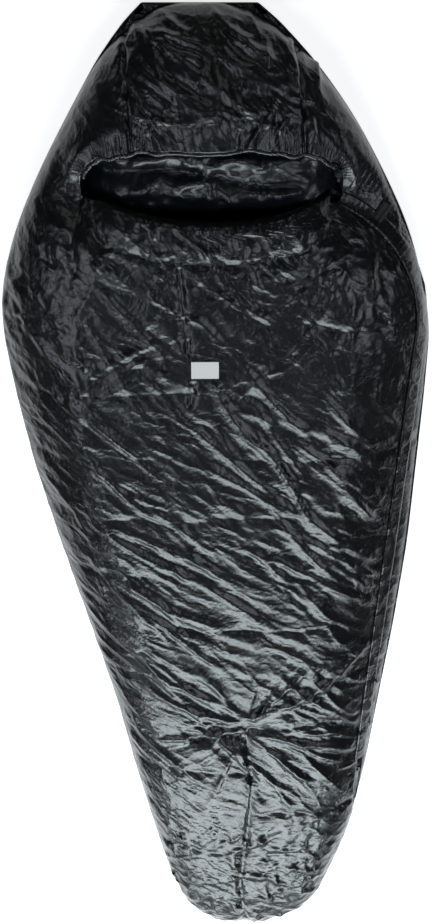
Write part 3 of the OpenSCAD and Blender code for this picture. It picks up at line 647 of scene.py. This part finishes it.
def panel(name, P, keep, mat, flip=False):
    """The quads of a grid whose first corner is kept, without the points they don't use."""
    rows, cols, _ = P.shape
    quads = grid_quads(rows, cols)[keep[:-1, :-1].ravel()]
    used, index = np.unique(quads, return_inverse=True)
    return new_piece(name, P.reshape(-1, 3)[used], index.reshape(-1, 4), mat, flip)


front_foot = panel("front_shell_foot", front3, row_of < cut_row, shell_mat)
front_chest = panel("front_shell_chest", front3, (row_of >= cut_row) & ~is_collar, shell_mat)
lip = front3[-1, left_col:]
fade = smooth(0.0, 0.04, lip[:, 0] - CORNER_L[0]) * smooth(0.0, 0.03, CORNER_R[0] + 0.004 - lip[:, 0])
curl = []
for k in range(1, 13):
    turn = math.pi * k / 12
    r = 0.016 * fade
    low = np.maximum(0.050, lip[:, 2] - r * (1 - math.cos(turn)))
    curl.append(np.stack([lip[:, 0], lip[:, 1] + 0.8 * r * math.sin(turn), np.minimum(lip[:, 2], low)], -1))
neck = np.concatenate([front3[collar_mid:, left_col:], np.array(curl)])
neck_baffle = skin("neck_baffle_shell", neck, shell_mat)

# The front's lining, which shows when the front is folded open
def low_side(P):
    x, y = P[..., 0], P[..., 1]
    m = edge_share(x, y, left_x(y), top_right(y))
    z = SEAM_Z + (crown(y) - QUILT_T) * np.sqrt(np.maximum(0, 1 - m ** 2.6))
    s = (2 * x - left_x(y) - top_right(y)) / (top_right(y) - left_x(y))
    lip_z = np.where(y > ZIP_FOOT_Y - 0.05, 0.0465, SEAM_Z)
    return np.maximum(z, SEAM_Z + (lip_z - SEAM_Z) * smooth(0.6, 1.0, s))


lin = front0[::3, ::2].copy()
lin[..., 2] = low_side(lin)
lin = finer(lin, 2)
lx, ly = lin[..., 0], lin[..., 1]
lin_folds = 0.7 * baffle_seams(lx, ly) + 0.6 * fold_field(lx, ly, folds_big[::2] + folds_mid[::3])
lin[..., 2] = np.minimum(lin[..., 2] - lin_folds * calm(lx, ly), low_side(lin) + 0.006)
front_lining = skin("front_lining_cloth", lin, lining_mat, flip=True)


# ---------------------------------------------------------------- back quilt, from the foot to the hood's rim
def back_grid(rows, cols):
    yy = even(np.stack([np.linspace(FOOT_Y, HEAD_Y, 1200)], -1), rows)[:, 0]
    s = np.sin(np.linspace(-1, 1, cols) * 1.25) / math.sin(1.25)
    x = mid_x(yy)[:, None] + half_w(yy)[:, None] * s
    return x, np.broadcast_to(yy[:, None], x.shape)


bx, by = back_grid(250, 96)
m = edge_share(bx, by, left_x(by), right_x(by))
under = SEAM_Z * (1 - np.sqrt(np.maximum(0, 1 - m ** 9)))
seam_rows = np.zeros_like(by)
for b in [0.945, 0.815, 0.685] + BAFFLES:
    seam_rows += 0.004 * np.exp(-(np.abs(by - b) / 0.012) ** 1.3)
back_folds = scatter(260, (0.03, 0.10), (0.006, 0.012), (0.001, 0.003), (-0.38, 0.40, -1.05, 1.05),
                     lambda x, y: rng.uniform(-1.2, 1.2))
ripple = fold_field(bx, by, back_folds) * (1 - smooth(0.9, 1.0, m))
under = np.maximum(0, under + seam_rows * (1 - smooth(0.9, 1.0, m)) - ripple)
back_shell = skin("back_shell_cloth", finer(np.stack([bx, by, under], -1), 2), shell_mat, flip=True)

lin_top = 0.014 * np.clip((m - 0.7) / 0.3, 0, 1) ** 3 + QUILT_T * (1 - 0.4 * m ** 6)
soft = (1 - smooth(0.55, 0.95, m))
lin_top = lin_top - (seam_rows * 1.3 - 0.003 + 0.8 * ripple) * soft
face = np.exp(-(((bx + 0.005) / 0.19) ** 6)) * smooth(0.70, 0.79, by) * smooth(0.96, 0.86, by)
rows_in = np.abs(np.sin((by - 0.752 + 0.012 * np.sin(bx * 14)) / 0.052 * np.pi)) ** 0.6
face_folds = scatter(170, (0.02, 0.09), (0.005, 0.011), (0.003, 0.008), (-0.23, 0.22, 0.72, 0.88),
                     lambda x, y: rng.choice([-0.6, 0.7, 1.5, 0.0]) + rng.normal(0, 0.35))
open_face = np.exp(-(((bx + 0.0075) / 0.195) ** 8)) * smooth(0.722, 0.765, by) * smooth(0.868, 0.840, by)
in_opening = open_face * (0.030 + 1.4 * fold_field(bx, by, face_folds))
lin_top = lin_top + face * (0.010 + 0.014 * rows_in) + in_opening
back_lining = skin("back_lining_cloth", finer(np.stack([bx, by, lin_top], -1), 2), lining_mat)

# ---------------------------------------------------------------- hood
HOOD_R, HOOD_C = 60, 251
hood0 = hood_grid(HOOD_R, HOOD_C)
u_of = np.broadcast_to(np.linspace(0, 1, HOOD_C)[None], hood0.shape[:2])
v_of = np.broadcast_to(np.linspace(0, 1, HOOD_R)[:, None], hood0.shape[:2])
MIDDLE_PANEL = (0.36, 0.68)


def hood_direction(x, y):
    centre = -0.14 < x < 0.14
    if centre and y > 0.90:
        return math.radians(-42) + rng.normal(0, 0.45)
    if centre:
        return math.atan2(y - 0.70, x + 0.0075) + rng.normal(0, 0.25)
    return math.radians(62 if x < 0 else -62) + rng.normal(0, 0.3)


def hood_scatter(count, length, width, height):
    inside = scatter(count, length, width, height, (-0.15, 0.17, 0.86, 1.05), hood_direction)
    sides = scatter(count // 5, length, width, (height[0] * 0.5, height[1] * 0.5),
                    (-0.33, 0.33, 0.77, 1.05), hood_direction)
    return inside + sides


hood_folds = [line_fold(-0.07, 1.00, 0.10, 0.885, 0.012, 0.010), line_fold(-0.02, 1.02, 0.11, 0.94, 0.010, 0.008),
              line_fold(-0.11, 0.965, 0.02, 0.89, 0.012, 0.008), line_fold(0.01, 0.99, 0.03, 0.90, 0.010, 0.006),
              line_fold(0.06, 1.01, 0.13, 0.965, 0.009, 0.006)]
hood_folds = hood_folds + hood_scatter(110, (0.02, 0.08), (0.005, 0.010), (0.003, 0.008))
hood_fine = (hood_scatter(260, (0.012, 0.05), (0.003, 0.006), (0.0005, 0.0016))
             + hood_scatter(500, (0.006, 0.02), (0.0018, 0.003), (0.0001, 0.0003)))
hx, hy = hood0[..., 0], hood0[..., 1]
calm_h = 1 - 0.8 * smooth(0.90, 1.0, v_of)
h = fold_field(hx, hy, hood_folds) * calm_h
for seam in MIDDLE_PANEL:
    h = h - 0.0055 * np.exp(-(np.abs(u_of - seam) / 0.007) ** 1.3)
pleat_at = u_of * 150 + 4 * np.sin(u_of * 19) + 2.5 * np.sin(u_of * 47 + 1)
at_brow = np.exp(-(v_of / 0.13) ** 1.5) * smooth(0.03, 0.12, u_of) * smooth(0.97, 0.9, u_of)
h = h + 0.0028 * (np.abs(np.sin(pleat_at)) - 0.55) * at_brow
h = h + 0.004 * np.exp(-((v_of - 0.2) / 0.12) ** 2)
hood_start = moved(hood0, h)
hold = np.zeros(hood0.shape[:2])
hold[:2], hold[-2:], hold[:, :2], hold[:, -2:] = 1.0, 1.0, 1.0, 1.0
for seam in MIDDLE_PANEL:
    hold[:, int(round(seam * (HOOD_C - 1)))] = 0.5
hood1 = simulate("hood_cloth", hood_start, moved(hood0, h * 1.8), hold, 1.0, 14, 0.02)
hood2 = finer(hood1, 2)
hood2 = moved(hood2, fold_field(hood2[..., 0], hood2[..., 1], hood_fine) * finer(calm_h[..., None], 2)[..., 0])
hood2 = held_down(hood2, 0.2)
# The brow's lip turns down over the drawcord channel
brow = hood2[0]
centre = np.array([-0.0075, 0.800])
inward = centre - brow[:, :2]
inward /= np.linalg.norm(inward, axis=1, keepdims=True)
turned = []
for k in range(5, 0, -1):
    a = math.pi / 2 * k / 5
    turned.append(np.concatenate([brow[:, :2] + inward * 0.005 * math.sin(a),
                                  brow[:, 2:] - 0.009 * (1 - math.cos(a))], -1))
hood3 = np.concatenate([np.array(turned), hood2])
cuts = [0] + [int(round(s * (hood3.shape[1] - 1))) for s in MIDDLE_PANEL] + [hood3.shape[1] - 1]
hood_panels = [skin("hood_shell_" + n, hood3[:, a:b + 1], shell_mat)
               for n, a, b in zip(("left", "centre", "right"), cuts[:-1], cuts[1:])]

inner = hood0[::3, ::3].copy()
iy = inner[..., 1]
m = edge_share(inner[..., 0], iy, left_x(iy), right_x(iy))
inner[..., 2] = np.minimum(SEAM_Z + (crown(iy) - QUILT_T) * np.sqrt(np.maximum(0, 1 - m ** 2.6)),
                           np.maximum(SEAM_Z, inner[..., 2] - 0.018))
rim = inner[:1].copy()
rim[..., 2] = hood0[:1, ::3, 2] - 0.016
rim[..., :2] += (centre - rim[..., :2]) / np.linalg.norm(centre - rim[..., :2], axis=2, keepdims=True) * 0.004
hood_lining = skin("hood_lining_cloth", np.concatenate([rim, inner]), lining_mat, flip=True)

# Drawcord channel: a gathered tube under the brow's lip
u = np.linspace(0.05, 0.86, 420)
cx, cy = hood_edge(u, 0.006)
cz = outer(cx, cy) - 0.0125
cz = cz + (0.09373 - cz) * smooth(0.74, 0.86, u)
wrinkle = 1 + 0.10 * np.abs(np.sin(u * 170 + 4 * np.sin(u * 23)))
channel = tube("brow_channel_cloth", np.stack([cx, cy, cz], -1), 0.0050 * wrinkle, shell_mat, sides=14)
LOCK = (0.19721, 0.81496, 0.09373)
cord_plan = [(0.1885, 0.8262), (0.1925, 0.8235), (0.1958, 0.8215),
             (LOCK[0], 0.8190), (LOCK[0], 0.8120), (LOCK[0], 0.8068)]
cord = tube("drawcord_braid", [(x, y, LOCK[2]) for x, y in cord_plan], 0.0016, cord_mat)

# ---------------------------------------------------------------- the wall outside the zip
low_y = np.linspace(ZIP_FOOT_Y - 0.17, ZIP_FOOT_Y - 0.003, 40)
part = smooth(ZIP_FOOT_Y - 0.17, ZIP_FOOT_Y - 0.02, low_y)
wall_x, wall_y = zip_point(np.linspace(0, ZIP_LENGTH + 0.004, 330), SLOT / 2)
wall_in = np.concatenate([np.stack([top_right(low_y) + SLOT * part, low_y], -1),
                          np.stack([wall_x, wall_y], -1)])
wall = []
for x0, y0 in wall_in:
    x = np.linspace(x0, max(x0 + 0.0005, float(right_x(y0))), 120)
    y = np.full_like(x, y0)
    line = np.stack([x, y, outer(x, y)], -1)
    line = even(line, 19)
    top = line[0, 2]
    down = [[x0, y0, mix_z] for mix_z in np.linspace(min(top, 0.046), top, 5)[:-1]]
    wall.append(np.concatenate([down, line]))
wall = np.array(wall)
wx, wy = wall[..., 0], wall[..., 1]
step_of, last = np.arange(wall.shape[1]), wall.shape[1] - 1
ease = (smooth(0, 6, step_of) * smooth(last, last - 7, step_of))[None]
wall_folds = fold_field(wx, wy, long_folds + folds_big + folds_mid[::2])
wall = moved(wall, (wall_folds + baffle_seams(wx, wy)) * ease * 0.8)
side_wall = skin("side_wall_cloth", held_down(wall, 0.2), shell_mat)


# ---------------------------------------------------------------- zip
def swept(name, start, end, count, section, mat, lift=None):
    """A closed section of (off, z) points swept along the zip; lift(x, y) is added to its height."""
    a = np.linspace(start, end, count)
    ring = []
    for off, z in section:
        x, y = zip_point(a, off)
        ring.append(np.stack([x, y, z + (lift(x, y) if lift else 0 * x)], -1))
    P = np.stack(ring, 1)
    ends = [np.repeat(end.mean(1, keepdims=True), P.shape[1], 1) for end in (P[:1], P[-1:])]
    P = np.concatenate([ends[0], P, ends[1]])
    return skin(name, P, mat, wrap=True)


def coil(name, start, end, off, mat):
    """A helix of 2.5 mm pitch along the zip."""
    turns = (end - start) / 0.0025
    a = np.linspace(start, end, int(turns * 10))
    angle = (a - start) / 0.0025 * 2 * np.pi
    x, y = zip_point(a, off + 0.00085 * np.cos(angle))
    return tube(name, np.stack([x, y, ZIP_Z + 0.00085 * np.sin(angle)], -1), 0.00035, mat, sides=5)


FRONT_END = RUN_L + ARC_R * (math.radians(62.4) + ZIP_LEAN)
TAPE_LOW, TAPE_TOP = 0.0478, 0.0486
tape_back = swept("zip_tape_outer", 0, ZIP_LENGTH, 240,
                  [(0.0032, TAPE_LOW), (0.0032, TAPE_TOP), (0.0074, TAPE_TOP), (0.0074, TAPE_LOW)], tape_mat)
tape_front = swept("zip_tape_inner", 0, FRONT_END, 240,
                   [(-0.0074, TAPE_LOW), (-0.0074, TAPE_TOP), (-0.0032, TAPE_TOP), (-0.0032, TAPE_LOW)], tape_mat)
coil_back = coil("zip_coil_outer", 0, ZIP_LENGTH, 0.0020, coil_mat)
coil_front = coil("zip_coil_inner", 0, FRONT_END, -0.0020, coil_mat)
ripples = lambda x, y: outer(x, y) + 0.0003 * np.sin(y * 70) + 0.0002 * np.sin(x * 90 + y * 60)
top_side = [(o / 1000, 0.0022) for o in (-13, -9, -5, -1, 3, 7, 10)]
low_face = [(off, 0.0010) for off, _ in reversed(top_side)]
cover = swept("zip_cover", 0.06, ZIP_LENGTH + 0.003, 420, top_side + low_face, shell_mat, ripples)

# Draft tube behind the zip, on the front's lining
tube_rows = np.linspace(0.03, FRONT_END - 0.02, 260)
sides = np.linspace(0, 2 * np.pi, 18, endpoint=False)
ring = []
for s in sides:
    x, y = zip_point(tube_rows, -0.027 + 0.017 * math.cos(s))
    P = np.stack([x, y, x], -1)[None]
    puckers = 1 + 0.12 * np.sin(tube_rows * 190 + 3 * np.sin(tube_rows * 31))
    z = low_side(P)[0] - 0.0065 + 0.0060 * math.sin(s) * puckers
    ring.append(np.stack([x, y, np.maximum(z, 0.0375 + 0.002 * math.sin(s))], -1))
draft = skin("draft_tube_cloth", np.stack(ring, 1), lining_mat, wrap=True)

# ---------------------------------------------------------------- trim
front_flat = front3.reshape(-1, 3)


def surface_z(x, y, reach=0.006):
    """Height of the finished front near plan points."""
    out = np.zeros(x.size)
    near = front_flat[(np.abs(front_flat[:, 0] - x.mean()) < 0.12) & (np.abs(front_flat[:, 1] - y.mean()) < 0.12)]
    for k, (px, py) in enumerate(zip(x.ravel(), y.ravel())):
        w = np.exp(-((near[:, 0] - px) ** 2 + (near[:, 1] - py) ** 2) / reach ** 2)
        out[k] = (w * near[:, 2]).sum() / max(w.sum(), 1e-9)
    return out.reshape(x.shape)


def patch(name, x, y, z, thick, mat):
    """A thin closed patch over a grid of plan points."""
    top = np.stack([x, y, z + thick], -1)
    rows, cols = x.shape
    low = top.copy()
    low[..., 2] = z
    n = rows * cols
    quads = grid_quads(rows, cols)
    rim = (list(range(cols)) + [r * cols + cols - 1 for r in range(1, rows)]
           + [(rows - 1) * cols + c for c in range(cols - 2, -1, -1)] + [r * cols for r in range(rows - 2, 0, -1)])
    walls = [[rim[k], rim[k] + n, rim[(k + 1) % len(rim)] + n, rim[(k + 1) % len(rim)]] for k in range(len(rim))]
    ob = new_piece(name, np.concatenate([top.reshape(-1, 3), low.reshape(-1, 3)]),
                   np.concatenate([quads, quads[:, ::-1] + n, np.array(walls)]), mat)
    ob.data.shade_flat()
    return ob


gx, gy = np.meshgrid(np.linspace(-0.024, 0.024, 33) + LABEL[0], np.linspace(-0.016, 0.016, 23) + LABEL[1])
label = patch("chest_label_weave", gx, gy, surface_z(gx, gy) + 0.0002, 0.0009, label_mat)

TAB_AT = RUN_L + ARC_R * (math.radians(51.213) + ZIP_LEAN)
aa, oo = np.meshgrid(np.linspace(-0.009, 0.009, 11) + TAB_AT, np.linspace(-0.001, 0.0285, 15))
gx, gy = zip_point(aa, oo)
tab = patch("closure_tab_webbing", gx, gy, outer(gx, gy) + 0.0036, 0.0012, tab_mat)
aa, oo = np.meshgrid(np.linspace(-0.009, 0.009, 11) + TAB_AT, np.linspace(0.0115, 0.020, 7))
gx, gy = zip_point(aa, oo)
loop = patch("loop_patch_pile", gx, gy, outer(gx, gy) + 0.0012, 0.0010, loop_mat)

# Piping in the seam between front and back
edge_y = np.linspace(FOOT_Y, HEAD_Y, 900)
edge_y = even(np.stack([left_x(edge_y), edge_y], -1), 420)[:, 1]
outline = np.concatenate([np.stack([left_x(edge_y), edge_y], -1),
                          np.stack([right_x(edge_y), edge_y], -1)[::-1]])
outline = even(np.concatenate([outline, outline[:1]]), 1400)[:-1]
outward = outline - [0.03, 0.0]
inset = outline - outward / np.linalg.norm(outward, axis=1, keepdims=True) * 0.0012
path = np.concatenate([inset, np.full((len(inset), 1), SEAM_Z)], -1)
t = np.roll(path, -1, 0) - np.roll(path, 1, 0)
t /= np.linalg.norm(t, axis=1, keepdims=True)
n = np.cross(t, [0, 0, 1.0])
a = np.linspace(0, 2 * np.pi, 8, endpoint=False)
ring = np.cos(a)[None, :, None] * n[:, None] + np.sin(a)[None, :, None] * np.array([0, 0, 1.0])
P = path[:, None] + 0.0016 * ring
piping = skin("seam_piping", np.concatenate([P, P[:1]]), shell_mat, wrap=True)

# ---------------------------------------------------------------- what each piece rides on and stands for
for ob in (front_foot, front_chest, neck_baffle, front_lining, tape_front, coil_front, cover, draft, label):
    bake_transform(ob)
for ob in [back_shell, back_lining, piping, hood_lining] + hood_panels:
    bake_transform(ob)
for ob in (channel, cord):
    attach(ob, "hood")
for ob in (side_wall, tape_back, coil_back, loop):
    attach(ob, "base")
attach(tab, "closure_tab")

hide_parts("front_fill_foot", "front_fill_lower", "front_fill_mid")
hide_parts("front_shell", "front_fill_upper", "flap_shell", "flap_fill_lower", "flap_fill_upper")
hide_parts("neck_baffle")
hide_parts("front_lining", "flap_lining")
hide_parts("back_shell", "back_fill", "hood_back_shell", "hood_back_fill")
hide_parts("back_lining", "hood_back_lining")
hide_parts("hood_panel_left")
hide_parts("hood_panel_centre", "hood_fill")
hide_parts("hood_panel_right")
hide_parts("hood_lining")
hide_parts("brow_channel")
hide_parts("drawcord")
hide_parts("side_wall")
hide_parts("zip_tape_back")
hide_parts("zip_coil_back")
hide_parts("zip_tape_front", "zip_tape_foot")
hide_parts("zip_coil_front", "zip_coil_foot")
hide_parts("draft_tube")
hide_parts("chest_label")
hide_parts("closure_tab")
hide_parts("loop_patch")

# Hard parts keep their CAD shape, with small rounded edges
hard = {"zip_stops": coil_mat, "cord_end": lock_mat, "cord_lock_barrel": lock_mat,
        "cord_lock_spring": spring_mat, "cord_lock_plunger": lock_mat, "slider_top": slider_mat,
        "pull_top": pull_mat, "slider_foot": slider_mat, "pull_foot": pull_mat}
for node, mat in hard.items():
    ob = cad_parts[node]
    ob.data.materials.clear()
    ob.data.materials.append(mat)
    bevel = ob.modifiers.new("edges", "BEVEL")
    bevel.width, bevel.segments, bevel.limit_method = 0.0003, 2, "ANGLE"

# ---------------------------------------------------------------- floor, light and camera
floor_mat, _, floor_shader = new_material("floor_paper", "#f8f8f8", 0.9)
floor_shader.inputs["Emission Color"].default_value = (1, 1, 1, 1)
floor_shader.inputs["Emission Strength"].default_value = 0.74
bpy.ops.mesh.primitive_plane_add(size=400, location=(0, 0, -0.0005))
floor = bpy.context.object
floor.name = "floor"
floor.data.materials.append(floor_mat)


def soft_light(name, place, aim, size, power, shade="#ffffff"):
    data = bpy.data.lights.new(name, "AREA")
    data.shape, data.size, data.size_y, data.energy = "RECTANGLE", size[0], size[1], power
    data.color = colour(shade)[:3]
    ob = bpy.data.objects.new(name, data)
    ob.location = place
    ob.rotation_euler = (Vector(aim) - Vector(place)).to_track_quat("-Z", "Y").to_euler()
    bpy.context.collection.objects.link(ob)


soft_light("beyond_foot", (-0.1, -2.5, 1.6), (0.05, -0.3, 0.1), (2.8, 1.2), 116, "#e4f0f4")
soft_light("left_side", (-1.5, -0.2, 2.6), (0, 0.3, 0), (1.3, 1.3), 21, "#e6eef8")
soft_light("right_side", (1.6, 0.2, 2.6), (0, 0.4, 0), (1.1, 1.1), 18, "#e6eef8")
soft_light("behind_camera", (0.3, 3.2, 3.0), (0, 0.6, 0), (1.2, 0.8), 7)

world = bpy.data.worlds.new("studio")
world.use_nodes = True
world.node_tree.nodes["Background"].inputs[0].default_value = (1, 1, 1, 1)
world.node_tree.nodes["Background"].inputs[1].default_value = 0.03
bpy.context.scene.world = world

lens = bpy.data.cameras.new("camera")
lens.sensor_width, lens.lens = 36.0, 43.87
camera = bpy.data.objects.new("camera", lens)
camera.location = (0, 1.320, 1.899)
camera.rotation_euler = (math.radians(-30), 0, 0)
bpy.context.collection.objects.link(camera)
bpy.context.scene.camera = camera
bpy.context.scene.view_settings.view_transform = "Standard"
